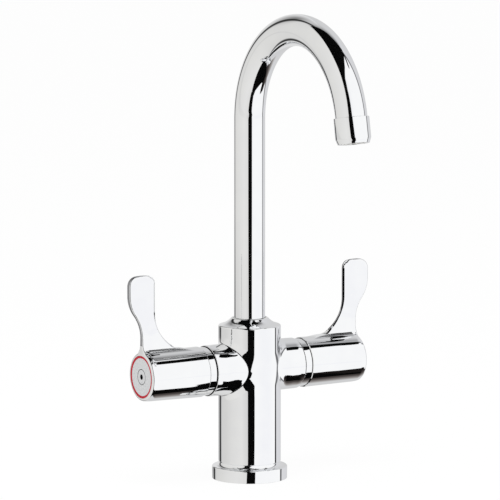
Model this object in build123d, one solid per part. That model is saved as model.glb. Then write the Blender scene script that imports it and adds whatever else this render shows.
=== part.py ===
from build123d import *
import os
from math import atan2, cos, degrees, radians, sin, sqrt

# Twin-lever monobloc mixer tap with a swivelling gooseneck spout.
# Millimetres. The origin is the centre of the base flange where it stands on the deck.
# +Z points up out of the deck, the two levers lie along X and the spout reaches towards -Y.
# The hot side is at -X and the cold side at +X.

# Base and column of the body
FLANGE_R = 26.8
FLANGE_TOP_Z = 9.1
FLANGE_ROUND = 0.9
NECK_Z = 12.2
NECK_R = 21.9
BODY_R = 22.2
BODY_EDGE_Z = 110.1
SEAM_BEVEL = 0.3
COLLAR_R = 13.3
COLLAR_TOP_Z = 115.2

# Side arms and levers, measured outwards from the centre along X
HANDLE_Z = 79.6
ARM_ROOT_R = 18.6
ARM_END_R = 18.05
ARM_END = 36.3
ARM_FILLET = 1.6
BAND_R = 17.5
BAND_END = 42.1
HUB_START = 42.4
HUB_END = 88.8
HUB_R = 17.65
LEVER_ROUND = 1.3

# Lever blade, heights counted from the handle axis
BLADE_THICKNESS = 4.4
BLADE_INNER = 77.8
BLADE_OUTER = 98.95
BLADE_TOP = 71.6
BLADE_SIDE_TOP = 70.2
BLADE_FLARE_R = 26.5
BLADE_FLARE_FOOT_ANGLE = 12
BLADE_NECK_Z = 27.4
BLADE_NECK_R = 26.5
BLADE_NECK_ANGLE = 37
BLADE_INNER_CORNER_R = 5.5
BLADE_OUTER_CORNER_R = 7.0
BLADE_ROOT_FILLET = 8.0
BLADE_ROOT_BITE = 0.02

# Gooseneck spout
TUBE_R = 11.0
TUBE_WALL = 1.2
TUBE_START_Z = 107.0
BEND_START_Z = 256.7
BEND_R = 67.0
BEND_ANGLE = 169.7
SLEEVE_R = 12.25
SLEEVE_LENGTH = 18.1
SLEEVE_TAPER_LENGTH = 4.0
SLEEVE_END_R = 10.95
AERATOR_BORE_R = 9.8

# Spout socket in the top of the body
SOCKET_R = 12.0
SOCKET_LEDGE_Z = 91.4
CHAMBER_R = 10.0
CHAMBER_Z = 86.0
BUSH_R = 11.9
THRUST_WASHER = 0.6
GLIDE_RING_Z = 110.7
GLIDE_RING_TOP_Z = 114.6
GRUB_Z = 103.0
GRUB_R = 2.5
GRUB_TIP_R = 1.2

# Valve pockets and water passages, distances from the centre along X
POCKET_SEAT = 14.0
POCKET_R = 12.0
POCKET_MOUTH = 22.0
VALVE_THREAD_R = 10.48
INLET_X = 8.0
INLET_R = 4.5
INLET_DEPTH = 14.0
PASSAGE_R = 3.0
OUTLET_PASSAGE_R = 2.2

# Mounting under the deck
DECK_THICKNESS = 16.0
SHANK_R = 16.0
SHANK_BORE_R = 13.2
SHANK_TOP_Z = 25.8
SHANK_BOTTOM_Z = -62.0
SHANK_RECESS_Z = 26.0
THREAD_PITCH = 1.5
THREAD_DEPTH = 0.8
GASKET_THICKNESS = 3.0
WASHER_THICKNESS = 2.0
CLAMP_R = 25.0
NUT_HEIGHT = 9.0
NUT_ACROSS_FLATS = 42.0

RUNNING = 0.05


def turned(points, axis=Axis.Z):
    """A turned solid from (radius, height) corners, given in order."""
    corners = [(radius, 0, height) for radius, height in points]
    return revolve(make_face(Polyline(*corners, close=True)), axis)


def ring(outer, inner, low, high):
    """A plain ring between two heights."""
    return turned([(inner, low), (outer, low), (outer, high), (inner, high)])


def rod(radius, low, high):
    """A plain round bar between two heights."""
    return turned([(0, low), (radius, low), (radius, high), (0, high)])


def o_ring(major, section, height):
    return revolve(Plane.XZ * Pos(major, height) * Circle(section), Axis.Z)


def to_cold_side(shape):
    """Lay a shape made about Z down on the handle axis, its height pointing to +X."""
    return Pos(0, 0, HANDLE_Z) * Rot(0, 90, 0) * shape


def to_hot_side(shape):
    return mirror(shape, about=Plane.YZ)


def column():
    """The upright of the casting, with its hollow shoulder rising to the spout collar."""
    top_round = 0.9
    shoulder_start = (BODY_R - top_round, BODY_EDGE_Z + 0.15)
    shoulder_middle = (16.6, 112.15)
    collar_bevel = 0.3
    side = [
        (0, NECK_Z),
        (BODY_R - SEAM_BEVEL, NECK_Z),
        (BODY_R, NECK_Z + SEAM_BEVEL),
        (BODY_R, BODY_EDGE_Z - top_round),
    ]
    wall = Polyline(*[(r, 0, z) for r, z in side])
    edge = ThreePointArc(
        (BODY_R, 0, BODY_EDGE_Z - top_round),
        (BODY_R - 0.25, 0, BODY_EDGE_Z - 0.22),
        (shoulder_start[0], 0, shoulder_start[1]),
    )
    shoulder = ThreePointArc(
        (shoulder_start[0], 0, shoulder_start[1]),
        (shoulder_middle[0], 0, shoulder_middle[1]),
        (COLLAR_R, 0, COLLAR_TOP_Z - collar_bevel),
    )
    cap = Polyline(
        (COLLAR_R, 0, COLLAR_TOP_Z - collar_bevel),
        (COLLAR_R - collar_bevel, 0, COLLAR_TOP_Z),
        (0, 0, COLLAR_TOP_Z),
        (0, 0, NECK_Z),
    )
    return revolve(make_face(wall + edge + shoulder + cap), Axis.Z)


def arm():
    """The cold arm: a slightly drafted round branch ending at the trim ring."""
    end_round = 0.35
    return to_cold_side(turned([
        (0, 0),
        (ARM_ROOT_R, 0),
        (ARM_END_R + 0.02, ARM_END - end_round),
        (ARM_END_R - end_round, ARM_END),
        (0, ARM_END),
    ]))


def valve_passages():
    """What is hollow on the cold side: valve pocket, supply way and outlet way."""
    seal_seat_depth = 2.0
    pocket = turned([
        (0, POCKET_SEAT),
        (POCKET_R, POCKET_SEAT),
        (POCKET_R, POCKET_MOUTH),
        (VALVE_THREAD_R, POCKET_MOUTH),
        (VALVE_THREAD_R, ARM_END - seal_seat_depth),
        (SOCKET_R + 0.2, ARM_END - seal_seat_depth),
        (SOCKET_R + 0.2, ARM_END + 1),
        (0, ARM_END + 1),
    ])
    nose_way = rod(PASSAGE_R + 0.2, INLET_X - PASSAGE_R, POCKET_SEAT + 1)
    riser = Pos(INLET_X, 0, 0) * rod(PASSAGE_R, SHANK_RECESS_Z, HANDLE_Z)
    inlet = Pos(INLET_X, 0, 0) * rod(INLET_R, SHANK_RECESS_Z - 1, SHANK_RECESS_Z + INLET_DEPTH)
    outlet_z = (CHAMBER_Z + SOCKET_LEDGE_Z) / 2
    outlet = Pos(0, 0, outlet_z) * Rot(0, 90, 0) * rod(OUTLET_PASSAGE_R, CHAMBER_R - 1, POCKET_SEAT + 1)
    return to_cold_side(pocket) + to_cold_side(nose_way) + riser + inlet + outlet


def body_casting():
    upright = column()
    cold_arm = arm()
    solid = upright + cold_arm + to_hot_side(cold_arm)
    roots = [
        edge for edge in solid.edges()
        if edge.geom_type not in (GeomType.LINE, GeomType.CIRCLE)
        and edge.bounding_box().size.Z > ARM_END_R
    ]
    solid = fillet(roots, ARM_FILLET)
    cold_ways = valve_passages()
    socket = turned([
        (0, CHAMBER_Z),
        (CHAMBER_R, CHAMBER_Z),
        (CHAMBER_R, SOCKET_LEDGE_Z),
        (SOCKET_R, SOCKET_LEDGE_Z),
        (SOCKET_R, COLLAR_TOP_Z + 1),
        (0, COLLAR_TOP_Z + 1),
    ])
    shank_recess = rod(SHANK_R, NECK_Z - 1, SHANK_RECESS_Z)
    grub_way = Pos(0, 0, GRUB_Z) * Rot(-90, 0, 0) * rod(GRUB_R, SOCKET_R - 1, BODY_R + 1)
    return solid - cold_ways - to_hot_side(cold_ways) - socket - shank_recess - grub_way


def base_flange():
    """Turned flange with a hollow cove up to the column and a seal groove underneath."""
    bore = SHANK_R + 0.3
    cove_foot = 24.4
    seal_inner = 20.4
    seal_outer = 23.6
    seal_depth = 2.0
    lower = Polyline(*[(r, 0, z) for r, z in [
        (NECK_R - SEAM_BEVEL, NECK_Z),
        (bore, NECK_Z),
        (bore, 0),
        (seal_inner, 0),
        (seal_inner, seal_depth),
        (seal_outer, seal_depth),
        (seal_outer, 0),
        (FLANGE_R - 0.2, 0),
        (FLANGE_R, 0.2),
        (FLANGE_R, FLANGE_TOP_Z - FLANGE_ROUND),
    ]])
    rim = ThreePointArc(
        (FLANGE_R, 0, FLANGE_TOP_Z - FLANGE_ROUND),
        (FLANGE_R - FLANGE_ROUND * (1 - sqrt(0.5)), 0, FLANGE_TOP_Z - FLANGE_ROUND * (1 - sqrt(0.5))),
        (FLANGE_R - FLANGE_ROUND, 0, FLANGE_TOP_Z),
    )
    top = Line((FLANGE_R - FLANGE_ROUND, 0, FLANGE_TOP_Z), (cove_foot, 0, FLANGE_TOP_Z))
    cove = ThreePointArc(
        (cove_foot, 0, FLANGE_TOP_Z),
        (NECK_R + 0.75, 0, FLANGE_TOP_Z + 0.85),
        (NECK_R, 0, NECK_Z - SEAM_BEVEL),
    )
    lip = Line((NECK_R, 0, NECK_Z - SEAM_BEVEL), (NECK_R - SEAM_BEVEL, 0, NECK_Z))
    return revolve(make_face(lower + rim + top + cove + lip), Axis.Z)


def base_seal():
    return ring(23.5, 20.5, 0, 1.95)


def mounting_shank():
    """Hollow threaded tube that screws up into the body and goes down through the deck."""
    root_r = SHANK_R - THREAD_DEPTH
    thread_bottom = SHANK_BOTTOM_Z + 1.5
    turns = int((-6.0 - thread_bottom) / THREAD_PITCH)
    points = [(SHANK_BORE_R, SHANK_BOTTOM_Z), (root_r, SHANK_BOTTOM_Z)]
    for turn in range(turns):
        low = thread_bottom + turn * THREAD_PITCH
        points += [(root_r, low), (SHANK_R, low + THREAD_PITCH / 2 - 0.1), (SHANK_R, low + THREAD_PITCH / 2 + 0.1)]
    points += [
        (root_r, thread_bottom + turns * THREAD_PITCH),
        (root_r, -3.5),
        (SHANK_R, -2.7),
        (SHANK_R, SHANK_TOP_Z),
        (SHANK_BORE_R, SHANK_TOP_Z),
    ]
    return turned(points)


def clamp_gasket():
    top = -DECK_THICKNESS
    return ring(CLAMP_R, SHANK_R + 0.3, top - GASKET_THICKNESS, top)


def clamp_washer():
    top = -DECK_THICKNESS - GASKET_THICKNESS
    return ring(CLAMP_R, SHANK_R + 0.3, top - WASHER_THICKNESS, top)


def lock_nut():
    """Hexagon nut with bevelled corners and a round seat for the washer."""
    top = -DECK_THICKNESS - GASKET_THICKNESS - WASHER_THICKNESS
    bevel = 1.4
    corner_r = NUT_ACROSS_FLATS / sqrt(3)
    hexagon = Pos(0, 0, top - NUT_HEIGHT) * extrude(RegularPolygon(corner_r, 6), NUT_HEIGHT)
    blank = turned([
        (SHANK_R + RUNNING, top - NUT_HEIGHT),
        (corner_r - bevel * 1.7, top - NUT_HEIGHT),
        (corner_r + 0.3, top - NUT_HEIGHT + bevel),
        (corner_r + 0.3, top - bevel),
        (corner_r - bevel * 1.7, top),
        (SHANK_R + RUNNING, top),
    ])
    return hexagon & blank


def spout_grub_screw():
    """Dog-point set screw at the back of the body; its tip keeps the spout bush in."""
    tip = 10.9
    shoulder = 12.3
    end = 21.4
    socket_across = 2.5
    socket_depth = 2.5
    bar = turned([
        (0, tip),
        (GRUB_TIP_R, tip),
        (GRUB_TIP_R, shoulder),
        (GRUB_R, shoulder + 0.6),
        (GRUB_R, end - 0.4),
        (GRUB_R - 0.4, end),
        (0, end),
    ])
    key_way = Pos(0, 0, end - socket_depth) * extrude(
        RegularPolygon(socket_across / sqrt(3), 6), socket_depth + 1)
    return Pos(0, 0, GRUB_Z) * Rot(-90, 0, 0) * (bar - key_way)


def spout_glide_ring():
    return ring(SOCKET_R, TUBE_R + RUNNING, GLIDE_RING_Z, GLIDE_RING_TOP_Z)


def spout_thrust_washer():
    return ring(SOCKET_R - 0.05, CHAMBER_R + 0.2, SOCKET_LEDGE_Z, SOCKET_LEDGE_Z + THRUST_WASHER)


# Valve of the cold side, made about Z with its height pointing outwards along the handle axis
HOUSING_BACK = POCKET_SEAT + 2.0
DISC_CHAMBER_R = 7.2
DISC_CHAMBER_END = 25.0
JOURNAL_R = 5.0
HOUSING_FRONT = 50.0
FIXED_DISC = (16.2, 19.2)
MOVING_DISC = (19.2, 22.2)
SPINDLE_FLANGE = (22.25, 24.9)
TONGUE = 1.4
SPLINE_R = 4.0
SPLINE_START = 51.6
SPINDLE_END = 63.5
SPINDLE_GROOVES = (30.0, 34.0)
SPINDLE_GROOVE_R = 4.2


def trim_ring():
    """The narrow bright band between arm and lever, clamped by the valve's hexagon."""
    web = 2.0
    edge = 0.25
    spigot_r = 15.1
    bore = 14.2
    return turned([
        (VALVE_THREAD_R, ARM_END),
        (BAND_R - edge, ARM_END),
        (BAND_R, ARM_END + edge),
        (BAND_R, BAND_END - edge),
        (BAND_R - edge, BAND_END),
        (spigot_r, BAND_END),
        (spigot_r, BAND_END + 3.2),
        (bore, BAND_END + 3.2),
        (bore, ARM_END + web),
        (VALVE_THREAD_R, ARM_END + web),
    ])


def cartridge_housing():
    """Brass headwork: windowed nose, thread, hexagon and the bearing of the spindle."""
    nose_r = 8.6
    thread_r = VALVE_THREAD_R - 0.08
    thread_back = POCKET_MOUTH - 0.2
    hexagon_back = ARM_END + 2.0
    hexagon_front = 43.0
    hexagon_across = 24.0
    stub_r = 8.0
    turned_part = turned([
        (DISC_CHAMBER_R, HOUSING_BACK),
        (nose_r, HOUSING_BACK),
        (nose_r, thread_back),
        (thread_r, thread_back + 0.8),
        (thread_r, hexagon_back),
        (stub_r, hexagon_front - 1),
        (stub_r, HOUSING_FRONT - 0.5),
        (stub_r - 0.5, HOUSING_FRONT),
        (JOURNAL_R + RUNNING, HOUSING_FRONT),
        (JOURNAL_R + RUNNING, DISC_CHAMBER_END),
        (DISC_CHAMBER_R, DISC_CHAMBER_END),
    ])
    hexagon = Pos(0, 0, hexagon_back) * extrude(
        RegularPolygon(hexagon_across / sqrt(3), 6), hexagon_front - hexagon_back)
    hexagon -= rod(JOURNAL_R + 1, hexagon_back - 1, hexagon_front + 1)
    window = Box(6.0, 3 * nose_r, 3.6)
    windows = Pos(0, 0, 18.6) * (window + Rot(0, 0, 90) * window)
    return turned_part + hexagon - windows


def housing_o_ring():
    return o_ring(11.35, 0.82, ARM_END - 1.0)


def seat_seal():
    return ring(8.0, 4.0, POCKET_SEAT, HOUSING_BACK)


def fixed_disc():
    """Ceramic disc with two opposite ports, held in the housing."""
    low, high = FIXED_DISC
    disc = rod(DISC_CHAMBER_R - RUNNING, low, high)
    for turn in (0, 180):
        port = SlotArc(CenterArc((0, 0), 4.2, turn - 35, 70), 3.0)
        disc -= Pos(0, 0, low - 1) * extrude(port, high - low + 2)
    return disc


def moving_disc():
    """Ceramic disc that the spindle turns; its hollow joins the ports when open."""
    low, high = MOVING_DISC
    disc = rod(DISC_CHAMBER_R - 0.2, low, high)
    for turn in (90, 270):
        port = SlotArc(CenterArc((0, 0), 4.2, turn - 35, 70), 3.0)
        disc -= Pos(0, 0, low - 1) * extrude(port, high - low - 0.4)
    slot = Pos(0, 0, high) * Box(2 * DISC_CHAMBER_R, 3.0, 2 * (TONGUE + 0.1))
    return disc - slot


def spindle():
    """Brass spindle: driving tongue, flange, two seal grooves, clip groove and spline."""
    low, high = SPINDLE_FLANGE
    groove_width = 1.1
    clip_groove = (50.4, 51.4)
    profile = [(0, low), (DISC_CHAMBER_R - 0.2, low), (DISC_CHAMBER_R - 0.2, high), (JOURNAL_R, high)]
    for centre in SPINDLE_GROOVES:
        back = centre - groove_width / 2
        front = centre + groove_width / 2
        profile += [
            (JOURNAL_R, back),
            (SPINDLE_GROOVE_R, back),
            (SPINDLE_GROOVE_R, front),
            (JOURNAL_R, front),
        ]
    profile += [
        (JOURNAL_R, clip_groove[0]),
        (JOURNAL_R - 0.7, clip_groove[0]),
        (JOURNAL_R - 0.7, clip_groove[1]),
        (SPLINE_R, clip_groove[1]),
        (SPLINE_R, SPINDLE_END - 0.4),
        (SPLINE_R - 0.4, SPINDLE_END),
        (0, SPINDLE_END),
    ]
    shape = turned(profile)
    tongue = Pos(0, 0, low) * Box(2 * DISC_CHAMBER_R - 1.4, 2.8, 2 * TONGUE)
    shape += tongue
    tooth_count = 20
    valley = Pos(SPLINE_R + 0.15, 0, (SPLINE_START + SPINDLE_END) / 2 + 1) * Rot(0, 0, 45) * Box(
        0.6, 0.6, SPINDLE_END - SPLINE_START + 2)
    for tooth in range(tooth_count):
        shape -= Rot(0, 0, tooth * 360 / tooth_count) * valley
    screw_depth = 10.0
    return shape - rod(2.1, SPINDLE_END - screw_depth, SPINDLE_END + 1)


def spindle_o_rings():
    return Part() + [o_ring(4.62, 0.4, centre) for centre in SPINDLE_GROOVES]


def spindle_clip():
    """Open circlip that stops the spindle being pulled out of, or pushed into, the housing."""
    shape = ring(6.6, JOURNAL_R - 0.65, 50.45, 51.35)
    gap = Pos(6.0, 0, 50.9) * Box(6.0, 3.2, 3)
    return shape - gap


# Lever of the cold side: its hub is hollow from both ends
HUB_CAVITY_R = 15.4
HUB_CAVITY_END = 53.0
SPLINE_SOCKET_R = SPLINE_R + 0.03
SCREW_WEB = (64.0, 67.0)
SCREW_HOLE_R = 2.7
SCREW_CHAMBER_R = 11.0
INDEX_RECESS_R = 15.0
INDEX_RECESS = 86.4
INDEX_RING_INNER = 13.4


def blade_outline():
    """The blade seen from the front, in the X-Z plane, heights counted from the handle axis."""
    flare_centre = (BLADE_INNER - BLADE_FLARE_R, HUB_R + BLADE_FLARE_R)
    foot = radians(BLADE_FLARE_FOOT_ANGLE)
    foot_point = (
        flare_centre[0] + BLADE_FLARE_R * sin(foot),
        flare_centre[1] - BLADE_FLARE_R * cos(foot),
    )
    half_foot = radians(45 + BLADE_FLARE_FOOT_ANGLE / 2)
    flare_middle = (
        flare_centre[0] + BLADE_FLARE_R * sin(half_foot),
        flare_centre[1] - BLADE_FLARE_R * cos(half_foot),
    )
    fade_depth = 3.0
    fade_point = (foot_point[0] - fade_depth / sin(foot) * cos(foot), foot_point[1] - fade_depth)
    neck_centre_x = HUB_END + BLADE_NECK_R
    turn = radians(BLADE_NECK_ANGLE)
    neck_middle = (
        neck_centre_x - BLADE_NECK_R * cos(turn / 2),
        BLADE_NECK_Z + BLADE_NECK_R * sin(turn / 2),
    )
    neck_end = (neck_centre_x - BLADE_NECK_R * cos(turn), BLADE_NECK_Z + BLADE_NECK_R * sin(turn))
    cheek_r = (BLADE_OUTER - neck_end[0]) / (1 - cos(turn))
    cheek_centre = (BLADE_OUTER - cheek_r, neck_end[1] + cheek_r * sin(turn))
    cheek_middle = (
        cheek_centre[0] + cheek_r * cos(turn / 2),
        cheek_centre[1] - cheek_r * sin(turn / 2),
    )

    def at(point):
        return (point[0], 0, point[1])

    middle_x = (BLADE_INNER + BLADE_OUTER) / 2
    border = [
        Line((HUB_END, 0, 0), (HUB_END, 0, BLADE_NECK_Z)),
        ThreePointArc((HUB_END, 0, BLADE_NECK_Z), at(neck_middle), at(neck_end)),
        ThreePointArc(at(neck_end), at(cheek_middle), (BLADE_OUTER, 0, cheek_centre[1])),
        Line((BLADE_OUTER, 0, cheek_centre[1]), (BLADE_OUTER, 0, BLADE_SIDE_TOP)),
        ThreePointArc(
            (BLADE_OUTER, 0, BLADE_SIDE_TOP), (middle_x, 0, BLADE_TOP), (BLADE_INNER, 0, BLADE_SIDE_TOP)),
        Line((BLADE_INNER, 0, BLADE_SIDE_TOP), (BLADE_INNER, 0, flare_centre[1])),
        ThreePointArc((BLADE_INNER, 0, flare_centre[1]), at(flare_middle), at(foot_point)),
        Line(at(foot_point), at(fade_point)),
        Line(at(fade_point), (fade_point[0], 0, 0)),
        Line((fade_point[0], 0, 0), (HUB_END, 0, 0)),
    ]
    return make_face(Curve() + border)


def blade_section():
    """Keyhole section across the lever: the blade and the hollow fillets down to the round hub."""
    half = BLADE_THICKNESS / 2
    # the fillets sink a hair into the hub, so that the two meet in a clean line
    reach = HUB_R + BLADE_ROOT_FILLET - BLADE_ROOT_BITE
    centre_y = half + BLADE_ROOT_FILLET
    centre_z = sqrt(reach ** 2 - centre_y ** 2)
    touch_y = centre_y * (1 - BLADE_ROOT_FILLET / reach)
    touch_z = centre_z * (1 - BLADE_ROOT_FILLET / reach)
    touch_angle = degrees(atan2(touch_z - centre_z, touch_y - centre_y)) % 360
    middle_angle = radians((180 + touch_angle) / 2)
    middle_y = centre_y + BLADE_ROOT_FILLET * cos(middle_angle)
    middle_z = centre_z + BLADE_ROOT_FILLET * sin(middle_angle)
    tall = BLADE_TOP + 5
    border = []
    for side in (1, -1):
        border += [
            Line((0, 0, tall), (0, side * half, tall)),
            Line((0, side * half, tall), (0, side * half, centre_z)),
            ThreePointArc(
                (0, side * half, centre_z),
                (0, side * middle_y, middle_z),
                (0, side * touch_y, touch_z),
            ),
            Line((0, side * touch_y, touch_z), (0, side * touch_y, 0)),
            Line((0, side * touch_y, 0), (0, 0, 0)),
        ]
    return make_face(Curve() + border)


def across_blade(shape, near_x):
    """The short edges through the blade's thickness at its top, near one distance along X."""
    return [
        edge for edge in shape.edges()
        if edge.geom_type == GeomType.LINE and abs(edge.tangent_at(0).Y) > 0.99
        and edge.center().Z > BLADE_SIDE_TOP - 2 and abs(edge.center().X - near_x) < 1
    ]


def blade():
    """The upright grip: outline and keyhole section intersected, all rims rounded."""
    slab = extrude(blade_outline(), BLADE_THICKNESS * 3, dir=(0, 1, 0), both=True)
    slab = fillet(across_blade(slab, BLADE_INNER), BLADE_INNER_CORNER_R)
    slab = fillet(across_blade(slab, BLADE_OUTER), BLADE_OUTER_CORNER_R)
    shape = slab & extrude(blade_section(), BLADE_OUTER + 20, dir=(1, 0, 0))
    lowest = HUB_R - 1.5
    rims = [
        edge for edge in shape.edges()
        if abs(edge.tangent_at(0.5).Y) < 0.99 and edge.center().Z > lowest
        and not (edge.geom_type == GeomType.LINE and abs(edge.tangent_at(0.5).X) > 0.9)
    ]
    return fillet(rims, LEVER_ROUND)


def lever_handle():
    """Hollow hub and blade in one casting; the spindle's spline and the screw hold it."""
    inner_round = 0.4
    bulge = LEVER_ROUND * (1 - sqrt(0.5))
    side = Polyline(*[(r, 0, x) for r, x in [
        (HUB_R, HUB_END - LEVER_ROUND),
        (HUB_R, HUB_START + inner_round),
        (HUB_R - inner_round, HUB_START),
        (0, HUB_START),
        (0, HUB_END),
        (HUB_R - LEVER_ROUND, HUB_END),
    ]])
    end_round = ThreePointArc(
        (HUB_R - LEVER_ROUND, 0, HUB_END),
        (HUB_R - bulge, 0, HUB_END - bulge),
        (HUB_R, 0, HUB_END - LEVER_ROUND),
    )
    hub = revolve(make_face(side + end_round), Axis.Z)
    cavity = turned([
        (0, HUB_START - 1),
        (HUB_CAVITY_R, HUB_START - 1),
        (HUB_CAVITY_R, HUB_CAVITY_END),
        (SPLINE_SOCKET_R, HUB_CAVITY_END),
        (SPLINE_SOCKET_R, SCREW_WEB[0]),
        (SCREW_HOLE_R, SCREW_WEB[0]),
        (SCREW_HOLE_R, SCREW_WEB[1]),
        (SCREW_CHAMBER_R, SCREW_WEB[1]),
        (SCREW_CHAMBER_R, INDEX_RECESS),
        (INDEX_RECESS_R, INDEX_RECESS),
        (INDEX_RECESS_R, HUB_END + 1),
        (0, HUB_END + 1),
    ])
    solid = Rot(0, 90, 0) * hub + blade()
    return Pos(0, 0, HANDLE_Z) * (solid - Rot(0, 90, 0) * cavity)


def index_ring():
    return ring(INDEX_RECESS_R, INDEX_RING_INNER, INDEX_RECESS, HUB_END - 0.1)


def index_cap():
    """Flat disc closing the hub, with a turned line round it and a hole in its centre."""
    face = HUB_END - 0.25
    line_r = 5.35
    line_width = 0.45
    line_depth = 0.3
    plug_r = SCREW_CHAMBER_R - 0.05
    plug_wall = 1.4
    hole_r = 1.9
    return turned([
        (hole_r, INDEX_RECESS),
        (hole_r, face),
        (line_r - line_width / 2, face),
        (line_r, face - line_depth),
        (line_r + line_width / 2, face),
        (INDEX_RING_INNER - 0.05, face),
        (INDEX_RING_INNER - 0.05, INDEX_RECESS),
        (plug_r, INDEX_RECESS),
        (plug_r, INDEX_RECESS - 4.0),
        (plug_r - plug_wall, INDEX_RECESS - 4.0),
        (plug_r - plug_wall, INDEX_RECESS - 0.2),
        (hole_r, INDEX_RECESS - 0.2),
    ])


def handle_screw():
    head_r = 4.25
    head_height = 4.5
    shank_r = 2.05
    tip = 54.5
    seat = SCREW_WEB[1]
    socket_across = 3.0
    shape = turned([
        (0, tip),
        (shank_r - 0.4, tip),
        (shank_r, tip + 0.4),
        (shank_r, seat),
        (head_r, seat),
        (head_r, seat + head_height - 0.4),
        (head_r - 0.4, seat + head_height),
        (0, seat + head_height),
    ])
    key_way = Pos(0, 0, seat + head_height - 2.4) * extrude(RegularPolygon(socket_across / sqrt(3), 6), 4)
    return shape - key_way


def spout_end():
    """Place of the tube's lower end; its local +Z points down along the water jet."""
    turn = radians(BEND_ANGLE)
    origin = (0, -BEND_R * (1 - cos(turn)), BEND_START_Z + BEND_R * sin(turn))
    return Plane(origin=origin, x_dir=(1, 0, 0), z_dir=(0, -sin(turn), cos(turn))).location


def spout_tube():
    bore = TUBE_R - TUBE_WALL
    riser = ring(TUBE_R, bore, TUBE_START_Z, BEND_START_Z)
    section = Pos(0, 0, BEND_START_Z) * (Circle(TUBE_R) - Circle(bore))
    bend_axis = Axis((0, -BEND_R, BEND_START_Z), (1, 0, 0))
    bend = revolve(section, bend_axis, BEND_ANGLE)
    return riser + bend


def aerator_sleeve():
    """Turned end piece soldered to the tube, with a bevelled lower edge and the aerator's bore."""
    spigot_r = 9.3
    spigot = 5.0
    waterway = 7.6
    bore_start = 7.0
    edge = 0.3
    lip = 0.35
    return spout_end() * turned([
        (waterway, -spigot),
        (spigot_r, -spigot),
        (spigot_r, 0),
        (SLEEVE_R - edge, 0),
        (SLEEVE_R, edge),
        (SLEEVE_R, SLEEVE_LENGTH - SLEEVE_TAPER_LENGTH),
        (SLEEVE_END_R, SLEEVE_LENGTH - lip),
        (SLEEVE_END_R - lip, SLEEVE_LENGTH),
        (AERATOR_BORE_R, SLEEVE_LENGTH),
        (AERATOR_BORE_R, bore_start),
        (waterway, bore_start),
    ])


def aerator_washer():
    return spout_end() * ring(AERATOR_BORE_R - 0.05, 7.6, 7.0, 8.6)


AERATOR_START = 8.6
AERATOR_END = 17.5
MESH_SEAT = 15.6
MESH_THICKNESS = 0.7


def aerator_insert():
    """Plastic flow body with a perforated plate on top and air slots round its side."""
    outer = AERATOR_BORE_R - 0.05
    inner = 8.0
    plate = 1.2
    shell = turned([
        (0, AERATOR_START),
        (outer, AERATOR_START),
        (outer, AERATOR_END - 0.3),
        (outer - 0.3, AERATOR_END),
        (inner, AERATOR_END),
        (inner, MESH_SEAT + MESH_THICKNESS),
        (inner + 0.6, MESH_SEAT + MESH_THICKNESS),
        (inner + 0.6, MESH_SEAT),
        (inner, MESH_SEAT),
        (inner, AERATOR_START + plate),
        (0, AERATOR_START + plate),
    ])
    jet = rod(0.55, AERATOR_START - 1, AERATOR_START + plate + 1)
    for radius, count in ((3.0, 8), (5.6, 14)):
        for step in range(count):
            shell -= Rot(0, 0, step * 360 / count) * Pos(radius, 0, 0) * jet
    return spout_end() * shell


def aerator_mesh():
    """Stainless outlet screen: a round plate with a square grid of openings."""
    pitch = 1.6
    opening = 1.15
    radius = 8.55
    plate = rod(radius, MESH_SEAT + 0.02, MESH_SEAT + MESH_THICKNESS - 0.02)
    cutter = Box(opening, opening, 4)
    steps = range(-5, 6)
    for row in steps:
        for line in steps:
            x = row * pitch
            y = line * pitch
            if sqrt(x ** 2 + y ** 2) < radius - 1.5:
                plate -= Pos(x, y, MESH_SEAT) * cutter
    return spout_end() * plate


BUSH_BOTTOM_Z = SOCKET_LEDGE_Z + THRUST_WASHER
BUSH_GROOVES = (95.2, 98.8)
BUSH_GROOVE_R = 10.6


def spout_bush():
    """Brass bush brazed into the tube: two seal grooves and the retaining groove."""
    bore = 7.5
    groove_width = 1.6
    retaining_r = 10.6
    spigot_r = TUBE_R - TUBE_WALL - 0.05
    profile = [(bore, BUSH_BOTTOM_Z), (BUSH_R - 0.3, BUSH_BOTTOM_Z), (BUSH_R, BUSH_BOTTOM_Z + 0.3)]
    for centre in BUSH_GROOVES:
        back = centre - groove_width / 2
        front = centre + groove_width / 2
        profile += [(BUSH_R, back), (BUSH_GROOVE_R, back), (BUSH_GROOVE_R, front), (BUSH_R, front)]
    profile += [
        (BUSH_R, GRUB_Z - 1.5),
        (retaining_r, GRUB_Z - 1.5),
        (retaining_r, GRUB_Z + 1.5),
        (BUSH_R, GRUB_Z + 1.5),
        (BUSH_R, TUBE_START_Z),
        (spigot_r, TUBE_START_Z),
        (spigot_r, TUBE_START_Z + 9),
        (bore, TUBE_START_Z + 9),
    ]
    return turned(profile)


def spout_o_rings():
    return Part() + [o_ring(11.27, 0.65, centre) for centre in BUSH_GROOVES]


FIXED_PARTS = {
    "body_casting": body_casting,
    "base_flange": base_flange,
    "base_seal": base_seal,
    "mounting_shank": mounting_shank,
    "clamp_gasket": clamp_gasket,
    "clamp_washer": clamp_washer,
    "lock_nut": lock_nut,
    "spout_grub_screw": spout_grub_screw,
    "spout_glide_ring": spout_glide_ring,
    "spout_thrust_washer": spout_thrust_washer,
}
SPOUT_PARTS = {
    "spout_tube": spout_tube,
    "spout_bush": spout_bush,
    "spout_o_rings": spout_o_rings,
    "aerator_sleeve": aerator_sleeve,
    "aerator_washer": aerator_washer,
    "aerator_insert": aerator_insert,
    "aerator_mesh": aerator_mesh,
}
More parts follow.
